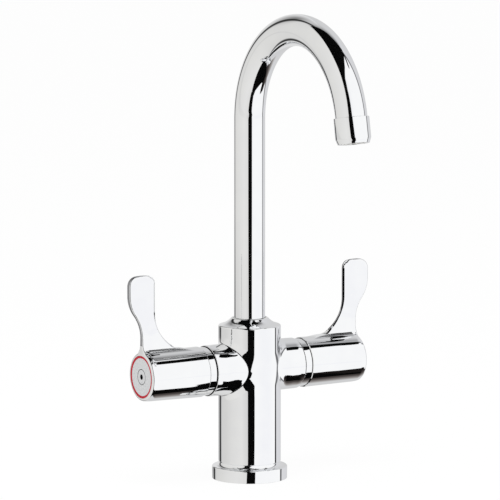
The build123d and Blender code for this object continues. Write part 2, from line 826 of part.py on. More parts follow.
# Made once about the handle axis, then laid on the cold side and mirrored for the hot side
VALVE_PARTS = {
    "trim_ring": trim_ring,
    "cartridge_housing": cartridge_housing,
    "housing_o_ring": housing_o_ring,
    "seat_seal": seat_seal,
    "fixed_disc": fixed_disc,
    "moving_disc": moving_disc,
    "spindle": spindle,
    "spindle_o_rings": spindle_o_rings,
    "spindle_clip": spindle_clip,
    "index_ring": index_ring,
    "index_cap": index_cap,
    "handle_screw": handle_screw,
}


def all_parts():
    parts = {name: make() for name, make in FIXED_PARTS.items()}
    parts.update({name: make() for name, make in SPOUT_PARTS.items()})
    for name, make in VALVE_PARTS.items():
        cold = to_cold_side(make())
        parts["cold_" + name] = cold
        parts["hot_" + name] = to_hot_side(cold)
    cold_lever = lever_handle()
    parts["cold_lever_handle"] = cold_lever
    parts["hot_lever_handle"] = to_hot_side(cold_lever)
    return parts


os.makedirs("parts", exist_ok=True)
for node, shape in all_parts().items():
    export_step(shape, "parts/" + node + ".step")
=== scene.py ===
from math import atan2, cos, degrees, pi, radians, sin, sqrt, tan

import bmesh
import bpy
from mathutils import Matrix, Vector


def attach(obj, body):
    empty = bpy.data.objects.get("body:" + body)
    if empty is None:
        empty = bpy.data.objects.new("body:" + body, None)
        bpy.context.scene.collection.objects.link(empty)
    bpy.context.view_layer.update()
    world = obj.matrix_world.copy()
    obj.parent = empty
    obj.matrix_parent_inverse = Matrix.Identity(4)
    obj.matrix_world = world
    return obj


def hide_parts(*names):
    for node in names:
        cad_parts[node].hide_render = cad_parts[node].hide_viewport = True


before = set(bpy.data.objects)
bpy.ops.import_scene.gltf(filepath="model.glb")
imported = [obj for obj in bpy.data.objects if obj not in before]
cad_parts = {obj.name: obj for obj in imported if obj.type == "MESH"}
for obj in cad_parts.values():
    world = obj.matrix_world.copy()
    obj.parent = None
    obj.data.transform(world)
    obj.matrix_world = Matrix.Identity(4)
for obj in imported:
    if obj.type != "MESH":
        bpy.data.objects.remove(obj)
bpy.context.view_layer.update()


# Camera
# A long lens about three metres off, a little above the tap and to the left of its spout,
# where the photograph was taken from.
view_azimuth = radians(-31.244)
view_height = radians(7.386)
view_distance = 2.9157
aim_height = 0.1634
aim_shift = 0.0003
lens_pixels = 4115.2
sensor_pixels = 500
sensor_width = 36.0

camera_back = Vector((
    sin(view_azimuth) * cos(view_height),
    -cos(view_azimuth) * cos(view_height),
    sin(view_height),
))
camera_right = Vector((cos(view_azimuth), sin(view_azimuth), 0))
camera_data = bpy.data.cameras.new("photo_camera")
camera_data.sensor_width = sensor_width
camera_data.lens = lens_pixels * sensor_width / sensor_pixels
camera_data.clip_start = 0.05
camera_data.clip_end = 60
camera = bpy.data.objects.new("photo_camera", camera_data)
bpy.context.scene.collection.objects.link(camera)
camera.location = Vector((0, 0, aim_height)) + camera_right * aim_shift + camera_back * view_distance
camera.rotation_mode = "QUATERNION"
camera.rotation_quaternion = (-camera_back).to_track_quat("-Z", "Y")
bpy.context.scene.camera = camera
bpy.context.scene.view_settings.view_transform = "Standard"


# Studio floor
# A wide sheet of white paper. It shows as the photograph's white background, and takes the
# soft shadow of the tap where it stands.
def linear(hex_colour):
    """An sRGB hex colour as the linear values that the shaders take."""
    channels = [int(hex_colour[i:i + 2], 16) / 255 for i in (1, 3, 5)]
    low = [c / 12.92 if c <= 0.04045 else ((c + 0.055) / 1.055) ** 2.4 for c in channels]
    return (*low, 1.0)


def add_node(tree, kind, inputs=None, **settings):
    """Adds one node with its settings. An input gets a value, a node's output or a node, which
    stands for its first output."""
    made = tree.nodes.new(kind)
    for name, value in settings.items():
        setattr(made, name, value)
    for name, value in (inputs or {}).items():
        if isinstance(value, bpy.types.Node):
            value = value.outputs[0]
        if isinstance(value, bpy.types.NodeSocket):
            tree.links.new(value, made.inputs[name])
        else:
            made.inputs[name].default_value = value
    return made


floor_size = 40
camera_glow = 0.92
bpy.ops.mesh.primitive_plane_add(size=floor_size, location=(0, 0, 0))
floor = bpy.context.object
floor.name = "paper_floor"
paper = bpy.data.materials.new("white_background_paper")
paper.use_nodes = True
tree = paper.node_tree
tree.nodes.clear()
ray = add_node(tree, "ShaderNodeLightPath")
matt = add_node(tree, "ShaderNodeBsdfDiffuse", {"Color": linear("#F4F4F4")})
glow = add_node(tree, "ShaderNodeEmission", {"Color": linear("#FFFFFF")})
share = add_node(tree, "ShaderNodeMath", {
    0: ray.outputs["Is Camera Ray"], 1: camera_glow,
}, operation="MULTIPLY")
mixed = add_node(tree, "ShaderNodeMixShader", {0: share, 1: matt, 2: glow})
add_node(tree, "ShaderNodeOutputMaterial", {"Surface": mixed})
floor.data.materials.append(paper)
floor.visible_glossy = False


# Studio light
# A white light tent round the tap, seen in the chrome as broad pale walls: a grey one to the
# left, a whiter one to the right, and a dim back wall with its two upright seams.
def fill_ramp(ramp, stops):
    """Sets a ramp's stops from (position, hex grey) pairs in rising order."""
    while len(ramp.elements) > 1:
        ramp.elements.remove(ramp.elements[-1])
    ramp.elements[0].position = stops[0][0]
    ramp.elements[0].color = linear(stops[0][1])
    for position, grey in stops[1:]:
        ramp.elements.new(position).color = linear(grey)


def bearing_stop(degrees_right, grey):
    """A stop at a bearing counted to the right of the camera, seen from the tap."""
    return ((degrees_right + 180) / 360, grey)


world = bpy.data.worlds.new("light_tent")
bpy.context.scene.world = world
world.use_nodes = True
tree = world.node_tree
tree.nodes.clear()
place = add_node(tree, "ShaderNodeTexCoord")
turned = add_node(tree, "ShaderNodeMapping", {
    "Vector": place.outputs["Generated"], "Rotation": (0, 0, -view_azimuth),
})
# the direction's parts: X to the camera's right, Y away from the camera, Z up
part = add_node(tree, "ShaderNodeSeparateXYZ", {0: turned})
forward = add_node(tree, "ShaderNodeMath", {0: part.outputs["Y"], 1: -1.0}, operation="MULTIPLY")
bearing = add_node(tree, "ShaderNodeMath", {0: part.outputs["X"], 1: forward}, operation="ARCTAN2")
bearing_share = add_node(tree, "ShaderNodeMapRange", {0: bearing, 1: -pi, 2: pi})
# the walls a little below eye level, which the upright sides of the tap reflect
low_walls = add_node(tree, "ShaderNodeValToRGB", {0: bearing_share})
fill_ramp(low_walls.color_ramp, [
    bearing_stop(-180, "#D2D2D2"),
    bearing_stop(-162, "#B4B4B4"),
    bearing_stop(-148, "#B0B0B0"),
    bearing_stop(-145, "#202020"),
    bearing_stop(-134, "#202020"),
    bearing_stop(-131, "#B4B4B4"),
    bearing_stop(-124, "#D6D5D3"),
    bearing_stop(-96, "#D8D7D5"),
    bearing_stop(-70, "#E1E0DE"),
    bearing_stop(-30, "#E8E7E5"),
    bearing_stop(-8, "#DAD9D8"),
    bearing_stop(6, "#F6F6F6"),
    bearing_stop(24, "#FFFFFF"),
    bearing_stop(52, "#FBFBFD"),
    bearing_stop(74, "#FBFBFD"),
    bearing_stop(100, "#FFFFFF"),
    bearing_stop(108, "#FFFFFF"),
    bearing_stop(109, "#101010"),
    bearing_stop(115, "#101010"),
    bearing_stop(117, "#E0E0E2"),
    bearing_stop(145, "#DBDBDE"),
    bearing_stop(180, "#D2D2D2"),
])
# the walls above and below that level, with softer seams
high_walls = add_node(tree, "ShaderNodeValToRGB", {0: bearing_share})
fill_ramp(high_walls.color_ramp, [
    bearing_stop(-180, "#E2E2E2"),
    bearing_stop(-150, "#DEDDDC"),
    bearing_stop(-145, "#404040"),
    bearing_stop(-137, "#404040"),
    bearing_stop(-133, "#DAD9D7"),
    bearing_stop(-110, "#E1E0DD"),
    bearing_stop(-40, "#EAE9E7"),
    bearing_stop(-8, "#E4E3E1"),
    bearing_stop(6, "#F9F9FA"),
    bearing_stop(24, "#FFFFFF"),
    bearing_stop(108, "#FFFFFF"),
    bearing_stop(110, "#707072"),
    bearing_stop(116, "#707072"),
    bearing_stop(119, "#DCDCDE"),
    bearing_stop(180, "#D2D2D2"),
])
# levels and edges here are parts of a direction of length one
low_level = -0.165
low_level_half = 0.02
low_level_edge = 0.045
from_low = add_node(tree, "ShaderNodeMath", {0: part.outputs["Z"], 1: low_level}, operation="SUBTRACT")
off_low = add_node(tree, "ShaderNodeMath", {0: from_low}, operation="ABSOLUTE")
height_share = add_node(tree, "ShaderNodeMapRange", {0: off_low, 1: low_level_half, 2: low_level_edge})
walls = add_node(tree, "ShaderNodeMix", {
    0: height_share, 6: low_walls, 7: high_walls,
}, data_type="RGBA").outputs[2]
# the middle of the back wall grows dim towards the roof
least_part = 0.05
dim_start = 0.9
dim_full = 2.8
dim_grey = 0.25
middle_half = 0.45
middle_edge = 0.65
back_full = 0.25
behind = add_node(tree, "ShaderNodeMath", {0: part.outputs["Y"], 1: least_part}, operation="MAXIMUM")
rise = add_node(tree, "ShaderNodeMath", {0: part.outputs["Z"], 1: behind}, operation="DIVIDE")
dim = add_node(tree, "ShaderNodeMapRange", {
    0: rise, 1: dim_start, 2: dim_full, 3: 1.0, 4: dim_grey,
}, interpolation_type="SMOOTHSTEP")
sideways = add_node(tree, "ShaderNodeMath", {0: part.outputs["X"]}, operation="ABSOLUTE")
upwards = add_node(tree, "ShaderNodeMath", {0: part.outputs["Z"], 1: least_part}, operation="MAXIMUM")
lean_out = add_node(tree, "ShaderNodeMath", {0: sideways, 1: upwards}, operation="DIVIDE")
middle = add_node(tree, "ShaderNodeMapRange", {0: lean_out, 1: middle_half, 2: middle_edge, 3: 1.0, 4: 0.0})
back_share = add_node(tree, "ShaderNodeMapRange", {0: part.outputs["Y"], 1: 0.0, 2: back_full})
dim_share = add_node(tree, "ShaderNodeMath", {0: back_share, 1: middle}, operation="MULTIPLY")
back_dim = add_node(tree, "ShaderNodeMix", {0: dim_share, 2: 1.0, 3: dim}, data_type="FLOAT")
# so does its left side, which shows along the top of the bend
left_full = -0.35
left_edge = -0.02
lean_start = 0.2
lean_full = 0.6
far_start = 0.5
far_full = 0.7
left_grey = 0.3
left_share = add_node(tree, "ShaderNodeMapRange", {
    0: part.outputs["X"], 1: left_full, 2: left_edge, 3: 1.0, 4: 0.0,
})
lean_share = add_node(tree, "ShaderNodeMapRange", {0: part.outputs["Z"], 1: lean_start, 2: lean_full})
left_lean = add_node(tree, "ShaderNodeMath", {0: left_share, 1: lean_share}, operation="MULTIPLY")
far_share = add_node(tree, "ShaderNodeMapRange", {0: part.outputs["Y"], 1: far_start, 2: far_full})
left_back = add_node(tree, "ShaderNodeMath", {0: left_lean, 1: far_share}, operation="MULTIPLY")
left_dim = add_node(tree, "ShaderNodeMix", {0: left_back, 2: 1.0, 3: left_grey}, data_type="FLOAT")
wall_dim = add_node(tree, "ShaderNodeMath", {0: back_dim, 1: left_dim}, operation="MULTIPLY")
tent_colour = add_node(tree, "ShaderNodeVectorMath", {0: walls, "Scale": wall_dim}, operation="SCALE")
# the chrome sees the tent, the camera a white ground, and all else an even pale light
tent = add_node(tree, "ShaderNodeBackground", {"Color": tent_colour})
plain = add_node(tree, "ShaderNodeBackground", {"Color": linear("#F2F2F2")})
white = add_node(tree, "ShaderNodeBackground", {"Color": linear("#FFFFFF")})
ray = add_node(tree, "ShaderNodeLightPath")
mirrored = add_node(tree, "ShaderNodeMixShader", {0: ray.outputs["Is Glossy Ray"], 1: plain, 2: tent})
seen = add_node(tree, "ShaderNodeMixShader", {0: ray.outputs["Is Camera Ray"], 1: mirrored, 2: white})
add_node(tree, "ShaderNodeOutputWorld", {"Surface": seen})

lamp_data = bpy.data.lights.new("overhead_softbox", "AREA")
lamp_data.shape = "RECTANGLE"
lamp_data.size = 1.2
lamp_data.size_y = 0.9
lamp_data.energy = 12
lamp = bpy.data.objects.new("overhead_softbox", lamp_data)
bpy.context.scene.collection.objects.link(lamp)
lamp.location = (-0.5, -0.6, 1.6)
lamp.rotation_mode = "QUATERNION"
lamp_target = Vector((0, 0, 0.1))
lamp.rotation_quaternion = (lamp.location - lamp_target).to_track_quat("Z", "Y")
lamp.visible_glossy = False


# Openings of the tent
# Black velvet cards overhead, beside the bend, behind the camera and below the table's edge.
# Only the chrome sees them: they give it its dark stripes, as the tent's open front did.
velvet = bpy.data.materials.new("black_velvet")
velvet.use_nodes = True
tree = velvet.node_tree
tree.nodes.clear()
pile = add_node(tree, "ShaderNodeBsdfDiffuse", {"Color": linear("#0A0A0A")})
add_node(tree, "ShaderNodeOutputMaterial", {"Surface": pile})
tent_centre = Vector((0, -0.03, 0.18))
camera_level = Vector((sin(view_azimuth), -cos(view_azimuth), 0))


def velvet_card(name, corners, cloth=velvet):
    """A flat card from corners given as (right, towards the camera, up) from the tap."""
    shape = bmesh.new()
    points = [
        shape.verts.new(tent_centre + camera_right * right + camera_level * towards + Vector((0, 0, up)))
        for right, towards, up in corners
    ]
    shape.faces.new(points)
    mesh = bpy.data.meshes.new(name)
    shape.to_mesh(mesh)
    shape.free()
    card = bpy.data.objects.new(name, mesh)
    bpy.context.scene.collection.objects.link(card)
    card.data.materials.append(cloth)
    card.visible_camera = False
    card.visible_diffuse = False
    card.visible_shadow = False
    card.visible_transmission = False


card_distance = 6.0
velvet_card("overhead_opening", [
    (right * card_distance, towards * card_distance, card_distance)
    for right, towards in [
        (-0.53, -0.42), (0.12, -0.42), (0.38, -0.30), (0.37, -0.10),
        (0.24, 0.32), (0.03, 0.90), (-0.02, 1.45), (-0.60, 1.45), (-0.50, 0.9), (-0.53, 0.4),
    ]
])
velvet_card("front_opening", [
    (right * card_distance, card_distance, up * card_distance)
    for right, up in [
        (-0.41, 0.70), (-0.36, 0.45), (-0.35, 0.26), (-0.30, 0.12), (-0.175, -0.09), (-0.165, -0.125),
        (-0.12, -0.16), (-0.115, -0.22), (-0.20, -0.27), (-0.20, -0.8), (0.22, -0.8), (0.25, -0.3),
        (0.35, -0.22), (0.34, -0.20), (0.30, -0.185), (0.30, -0.16), (0.32, -0.12), (0.32, -0.09),
        (0.18, 0.13), (0.09, 0.27), (0.02, 0.7),
    ]
])
velvet_card("roof_seam", [
    (right * card_distance, towards * card_distance, card_distance)
    for right, towards in [(0.50, -0.30), (0.66, -0.32), (0.82, 0.02), (0.80, 0.12), (0.68, 0.10)]
])
# a small card close to the bend, which the hubs don't see
flank_right = 0.048
flank_towards = 0.081
flank_up = 0.130
flag_height = 0.17
velvet_card("bend_flag", [
    (flank_right + right * flag_height, flank_towards + towards * flag_height, flank_up + flag_height)
    for right, towards in [
        (0.05, -0.42), (0.60, -0.42), (0.65, -0.28), (0.52, 0.08), (0.36, 0.48), (0.05, 1.0),
        (-0.1, 0.9), (0.1, 0.3),
    ]
])
velvet_card("table_opening", [
    (right * card_distance, towards * card_distance, -card_distance)
    for right, towards in [
        (-0.27, -0.02), (-0.20, 0.6), (-0.17, 1.25), (0.31, 1.25), (0.36, 0.92), (0.52, 0.66),
        (0.62, 0.46), (0.74, 0.20), (0.82, 0.16), (0.99, 0.31), (1.22, 0.48), (1.26, 0.36),
        (1.0, 0.17), (0.80, -0.03), (0.76, -0.20), (0.3, -0.1),
    ]
])


# Table edge
# Behind the opening below the table the light comes back slowly: the undersides of the hubs go
# from black over brown grey to light grey.
def glowing_cloth(name, stops):
    """A cloth whose grey changes from the back of the card to its front, as a lit surface."""
    cloth = bpy.data.materials.new(name)
    cloth.use_nodes = True
    tree = cloth.node_tree
    tree.nodes.clear()
    place = add_node(tree, "ShaderNodeTexCoord")
    towards = add_node(tree, "ShaderNodeVectorMath", {
        0: place.outputs["Object"], 1: camera_level / card_distance,
    }, operation="DOT_PRODUCT").outputs["Value"]
    share = add_node(tree, "ShaderNodeMapRange", {0: towards, 1: -1.0, 2: 0.0})
    ramp = add_node(tree, "ShaderNodeValToRGB", {0: share})
    fill_ramp(ramp.color_ramp, stops)
    glow = add_node(tree, "ShaderNodeEmission", {"Color": ramp})
    add_node(tree, "ShaderNodeOutputMaterial", {"Surface": glow})
    return cloth


table_drop = 1.02
table_cloth = glowing_cloth("table_cloth", [
    (0.0, "#D8D8D8"),
    (0.2, "#D0CFCE"),
    (0.5, "#8C8683"),
    (0.72, "#4A4442"),
    (1.0, "#1C1918"),
])
velvet_card("table_edge", [
    (right * card_distance, towards * card_distance, -table_drop * card_distance)
    for right, towards in [(0.25, -0.85), (0.80, -0.85), (1.40, -0.10), (1.35, 0.35), (0.30, -0.02)]
], table_cloth)


# Body casting
# Column and arms are one brass casting, turned, polished and chrome plated. Where an arm runs
# into the column the polishing wheel has washed the hollow out wider than it was cast.
MM = 0.001
handle_height = 79.6 * MM
column_radius = 22.2 * MM
arm_root_radius = 18.6 * MM
wash_start = 0.3 * MM
wash_width = 5.5 * MM
wash_lean = 0.26
root_width = 4.5 * MM
root_lean = 0.5
cold_side_start = 1.0 * MM
weld_distance = 0.002 * MM
crease_angle = 30


def smooth_copy(name, piece, body):
    """A welded, smooth-shaded copy of one solid, which takes its place on its body."""
    bpy.ops.object.select_all(action="DESELECT")
    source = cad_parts[name]
    copy = bpy.data.objects.new(piece, source.data.copy())
    bpy.context.scene.collection.objects.link(copy)
    copy.data.materials.clear()
    bpy.context.view_layer.objects.active = copy
    copy.select_set(True)
    bpy.ops.object.mode_set(mode="EDIT")
    bpy.ops.mesh.select_all(action="SELECT")
    bpy.ops.mesh.remove_doubles(threshold=weld_distance)
    bpy.ops.object.mode_set(mode="OBJECT")
    smooth_shading(copy, crease_angle)
    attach(copy, body)
    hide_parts(name)
    return copy


def smooth_shading(piece, sharp_angle):
    """Smooth shading up to an angle in degrees, led by the larger faces."""
    bpy.context.view_layer.objects.active = piece
    piece.select_set(True)
    bpy.ops.object.shade_smooth_by_angle(angle=radians(sharp_angle))
    weighted = piece.modifiers.new("even_shading", "WEIGHTED_NORMAL")
    weighted.keep_sharp = True
    bpy.ops.object.modifier_apply(modifier=weighted.name)


def new_material(name):
    """An empty node material: returns it with its tree."""
    made = bpy.data.materials.new(name)
    made.use_nodes = True
    made.node_tree.nodes.clear()
    return made, made.node_tree


noise_low = 0.3
noise_high = 0.7


def cloudy(tree, size):
    """Soft noise fixed to the piece, its blotches of one real size."""
    place = add_node(tree, "ShaderNodeTexCoord")
    return add_node(tree, "ShaderNodeTexNoise", {
        "Vector": place.outputs["Object"], "Scale": 1 / size, "Detail": 3.0, "Roughness": 0.5,
    })


def spread(tree, noise, low, high):
    """The middle of a noise stretched between two values."""
    return add_node(tree, "ShaderNodeMapRange", {
        0: noise, 1: noise_low, 2: noise_high, 3: low, 4: high,
    })


def between(tree, noise, first, second):
    """A colour between two hex colours, led by a noise."""
    share = spread(tree, noise, 0.0, 1.0)
    mixed = add_node(tree, "ShaderNodeMix", {
        0: share, 6: linear(first), 7: linear(second),
    }, data_type="RGBA")
    return mixed.outputs[2]


def chrome_material(name, normal=None):
    """Bright chrome plate, hand polished: a mirror with a breath of haze. A function may shape
    its normal."""
    made, tree = new_material(name)
    haze = cloudy(tree, 11 * MM)
    inputs = {
        "Base Color": between(tree, haze, "#F5F6F8", "#F8F9FA"),
        "Metallic": 1.0,
        "Roughness": spread(tree, haze, 0.004, 0.012),
    }
    if normal:
        inputs["Normal"] = normal(tree)
    plate = add_node(tree, "ShaderNodeBsdfPrincipled", inputs)
    add_node(tree, "ShaderNodeOutputMaterial", {"Surface": plate})
    return made


def soft_region(tree, strength, borders):
    """A strength that fades out over each border of a region, given as (distance, out, in)."""
    for distance, outside, inside in borders:
        border = add_node(tree, "ShaderNodeMapRange", {
            0: distance, 1: outside, 2: inside,
        }, interpolation_type="SMOOTHSTEP")
        strength = add_node(tree, "ShaderNodeMath", {0: strength, 1: border}, operation="MULTIPLY")
    return strength


def washed_normal(tree):
    """The casting's own normal, leant where the wheel has washed out its hollows.

    Beside an arm the column leans towards the arm, most at its front and back. At the root of
    the cold arm, the arm leans towards the column."""
    place = add_node(tree, "ShaderNodeTexCoord").outputs["Object"]
    own = add_node(tree, "ShaderNodeNewGeometry").outputs["Normal"]
    along = add_node(tree, "ShaderNodeSeparateXYZ", {0: place}).outputs

    column_out = add_node(tree, "ShaderNodeVectorMath", {0: place, 1: (1, 1, 0)}, operation="MULTIPLY")
    column_normal = add_node(tree, "ShaderNodeVectorMath", {0: column_out}, operation="NORMALIZE")
    column_length = add_node(tree, "ShaderNodeVectorMath", {0: column_out}, operation="LENGTH")
    from_column = add_node(tree, "ShaderNodeMath", {
        0: column_length.outputs["Value"], 1: column_radius,
    }, operation="SUBTRACT")

    from_axis = add_node(tree, "ShaderNodeVectorMath", {
        0: place, 1: (0, 0, handle_height),
    }, operation="SUBTRACT")
    arm_out = add_node(tree, "ShaderNodeVectorMath", {0: from_axis, 1: (0, 1, 1)}, operation="MULTIPLY")
    arm_normal = add_node(tree, "ShaderNodeVectorMath", {0: arm_out}, operation="NORMALIZE")
    arm_length = add_node(tree, "ShaderNodeVectorMath", {0: arm_out}, operation="LENGTH")
    from_arm = add_node(tree, "ShaderNodeMath", {
        0: arm_length.outputs["Value"], 1: arm_root_radius,
    }, operation="SUBTRACT")

    front = add_node(tree, "ShaderNodeMath", {0: along["Y"]}, operation="ABSOLUTE")
    front_lean = add_node(tree, "ShaderNodeMath", {
        0: front, 1: wash_lean / column_radius,
    }, operation="MULTIPLY")
    column_lean = soft_region(tree, front_lean, [
        (from_arm, wash_width, 0.0),
        (from_arm, 0.0, wash_start),
        (from_column, -0.5 * MM, -0.3 * MM),
    ])
    leant = add_node(tree, "ShaderNodeMix", {
        0: column_lean, 4: own, 5: arm_normal,
    }, data_type="VECTOR").outputs[1]
    arm_lean = soft_region(tree, root_lean, [
        (from_column, root_width, 0.0),
        (from_column, 0.1 * MM, 0.6 * MM),
        (along["X"], 0.0, cold_side_start),
    ])
    rooted = add_node(tree, "ShaderNodeMix", {
        0: arm_lean, 4: leant, 5: column_normal,
    }, data_type="VECTOR").outputs[1]
    return add_node(tree, "ShaderNodeVectorMath", {0: rooted}, operation="NORMALIZE")


chrome = chrome_material("polished_chrome_plate")
casting_chrome = chrome_material("polished_chrome_on_casting", washed_normal)
casting = smooth_copy("body_casting", "body_casting_finish", "body")
casting.data.materials.append(casting_chrome)


# Base flange
# A turned brass ring on the deck, chrome plated: upright rim with a rounded top edge, a flat
# step and a hollow cove that rises to the column.
spin_steps = 144
join_distance = 0.001 * MM
rounded_from = 24


def spun_piece(name, profile, origin, axis, out, edge_round):
    """A ring section of (radius, distance along the axis) corners in mm, spun about a line.

    The first corner is also the last, and every edge that turns sharply is rounded off."""
    corners = [origin + out * (radius * MM) + axis * (along * MM) for radius, along in profile]
    bpy.ops.object.select_all(action="DESELECT")
    bpy.ops.mesh.primitive_plane_add(size=1 * MM, location=(0, 0, 0))
    piece = bpy.context.object
    piece.name = name
    bpy.ops.object.mode_set(mode="EDIT")
    bpy.ops.mesh.select_all(action="SELECT")
    bpy.ops.mesh.merge(type="CENTER")
    bpy.ops.transform.translate(value=corners[0])
    for start, end in zip(corners, corners[1:] + corners[:1]):
        bpy.ops.mesh.extrude_region_move(TRANSFORM_OT_translate={"value": end - start})
    bpy.ops.mesh.select_all(action="SELECT")
    bpy.ops.mesh.remove_doubles(threshold=join_distance)
    bpy.ops.mesh.select_all(action="SELECT")
    bpy.ops.mesh.spin(steps=spin_steps, angle=2 * pi, center=origin, axis=axis)
    bpy.ops.mesh.select_all(action="SELECT")
    bpy.ops.mesh.remove_doubles(threshold=join_distance)
    bpy.ops.mesh.normals_make_consistent(inside=False)
    bpy.ops.object.mode_set(mode="OBJECT")
    rounding = piece.modifiers.new("edge_round", "BEVEL")
    rounding.limit_method = "ANGLE"
    rounding.angle_limit = radians(rounded_from)
    rounding.width = edge_round * MM
    rounding.segments = 3
    bpy.ops.object.modifier_apply(modifier=rounding.name)
    smooth_shading(piece, crease_angle)
    return piece


def arc(centre, radius, start, end, count):
    """Points of an arc in (radius, distance) terms, with angles in degrees from the radius."""
    steps = [radians(start + (end - start) * step / count) for step in range(count + 1)]
    return [(centre[0] + radius * cos(turn), centre[1] + radius * sin(turn)) for turn in steps]


deck_centre = Vector((0, 0, 0))
upward = Vector((0, 0, 1))
rightward = Vector((1, 0, 0))
flange_radius = 26.8
flange_bore = 16.3
flange_height = 9.1
flange_top = 12.2
seal_groove_inner = 20.4
seal_groove_outer = 23.6
seal_groove_depth = 2.0
rim_round = 0.9
cove_centre = (25.03, 12.16)
cove_radius = 3.15
column_foot = 21.6
flange = spun_piece("base_flange_finish", [
    (flange_bore, flange_top),
    (flange_bore, 0.0),
    (seal_groove_inner, 0.0),
    (seal_groove_inner, seal_groove_depth),
    (seal_groove_outer, seal_groove_depth),
    (seal_groove_outer, 0.0),
    (flange_radius - 0.1, 0.0),
    *arc((flange_radius - rim_round, flange_height - rim_round), rim_round, 0, 90, 8),
    *arc(cove_centre, cove_radius, 260, 185, 10),
    (column_foot, flange_top),
], deck_centre, upward, rightward, edge_round=0.12)
flange.data.materials.append(chrome)
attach(flange, "body")
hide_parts("base_flange")


# Spout tube
# A 22 mm tube bent to a half ring and chrome plated: straight riser, round bend, and the end
# that hangs over the bowl. It swivels in the top of the body.
tube_radius = 11.0 * MM
tube_bore = 9.8 * MM
tube_start = 107.0 * MM
bend_start = 256.7 * MM
bend_radius = 67.0 * MM
bend_angle = radians(169.7)
tube_sides = 128
bend_steps = 150
bpy.ops.object.select_all(action="DESELECT")
bpy.ops.mesh.primitive_circle_add(vertices=tube_sides, radius=tube_radius, location=(0, 0, 0))
tube = bpy.context.object
tube.name = "spout_tube_finish"
bpy.ops.object.mode_set(mode="EDIT")
bpy.ops.mesh.primitive_circle_add(vertices=tube_sides, radius=tube_bore, location=(0, 0, 0))
bpy.ops.mesh.select_all(action="SELECT")
bpy.ops.mesh.bridge_edge_loops()
bpy.ops.transform.translate(value=(0, 0, tube_start))
bpy.ops.mesh.extrude_region_move(TRANSFORM_OT_translate={"value": (0, 0, bend_start - tube_start)})
bpy.ops.mesh.spin(
    steps=bend_steps, angle=bend_angle, center=(0, -bend_radius, bend_start), axis=(-1, 0, 0),
)
bpy.ops.mesh.select_all(action="SELECT")
bpy.ops.mesh.normals_make_consistent(inside=False)
bpy.ops.object.mode_set(mode="OBJECT")
smooth_shading(tube, crease_angle)
tube.data.materials.append(chrome)
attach(tube, "spout")
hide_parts("spout_tube")


# Aerator sleeve
# The turned end piece soldered on the tube: a step wider than it, with a bevelled lower edge.
sleeve_radius = 12.25
sleeve_bore = 9.8
sleeve_end = 18.1
bevel_start = 14.1
bevel_radius = 10.9
neck_start = -5.0
neck_radius = 9.3
neck_bore = 7.6
insert_seat = 7.0
outlet = Vector((0, -bend_radius * (1 - cos(bend_angle)), bend_start + bend_radius * sin(bend_angle)))
jet_direction = Vector((0, -sin(bend_angle), cos(bend_angle)))
sleeve = spun_piece("aerator_sleeve_finish", [
    (neck_bore, neck_start),
    (neck_radius, neck_start),
    (neck_radius, 0.0),
    (sleeve_radius, 0.0),
    (sleeve_radius, bevel_start),
    (bevel_radius, sleeve_end),
    (sleeve_bore, sleeve_end),
    (sleeve_bore, insert_seat),
    (neck_bore, insert_seat),
], outlet, jet_direction, rightward, edge_round=0.3)
sleeve.data.materials.append(chrome)
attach(sleeve, "spout")
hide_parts("aerator_sleeve")


# Aerator
# A white plastic flow body pressed into the sleeve, a stainless outlet screen clipped in it
# and a black washer above.
def plain_material(name, first, second, low, high, size, metallic=0.0):
    """A material led by one noise: its colour and its roughness between two values each."""
    made, tree = new_material(name)
    noise = cloudy(tree, size)
    surface = add_node(tree, "ShaderNodeBsdfPrincipled", {
        "Base Color": between(tree, noise, first, second),
        "Metallic": metallic,
        "Roughness": spread(tree, noise, low, high),
    })
    add_node(tree, "ShaderNodeOutputMaterial", {"Surface": surface})
    return made


# acetal is matt and faintly cloudy, rolled steel has a soft sheen, and nitrile a dull black skin
white_plastic = plain_material("moulded_white_acetal", "#E4E3DD", "#EDECE7", 0.3, 0.42, 3 * MM)
steel = plain_material("bright_stainless_steel", "#B9BABA", "#C9CACB", 0.16, 0.3, 2 * MM, metallic=1.0)
rubber = plain_material("black_nitrile_rubber", "#141415", "#1F1F20", 0.55, 0.75, 1 * MM)
for name, look in (("aerator_insert", white_plastic), ("aerator_mesh", steel), ("aerator_washer", rubber)):
    smooth_copy(name, name + "_finish", "spout").data.materials.append(look)


# Spout bearing
# Hidden in the socket: a brass bush on the tube with two seals, a plastic washer it turns on,
# the plastic glide ring at the collar, and the steel screw at the back that keeps it in.
tool_mark = 0.3 * MM
tool_mark_depth = 0.02 * MM


def turned_brass(name):
    """Bare turned brass with faint tool marks."""
    made, tree = new_material(name)
    noise = cloudy(tree, 4 * MM)
    marks = add_node(tree, "ShaderNodeBump", {
        "Height": cloudy(tree, tool_mark), "Strength": 0.12, "Distance": tool_mark_depth,
    })
    surface = add_node(tree, "ShaderNodeBsdfPrincipled", {
        "Base Color": between(tree, noise, "#C9A450", "#D8B766"),
        "Metallic": 1.0,
        "Roughness": spread(tree, noise, 0.2, 0.34),
        "Normal": marks,
    })
    add_node(tree, "ShaderNodeOutputMaterial", {"Surface": surface})
    return made


brass = turned_brass("turned_brass")
for name, body, look in (
    ("spout_bush", "spout", brass),
    ("spout_o_rings", "spout", rubber),
    ("spout_glide_ring", "body", white_plastic),
    ("spout_thrust_washer", "body", white_plastic),
    ("spout_grub_screw", "body", steel),
):
    smooth_copy(name, name + "_finish", body).data.materials.append(look)


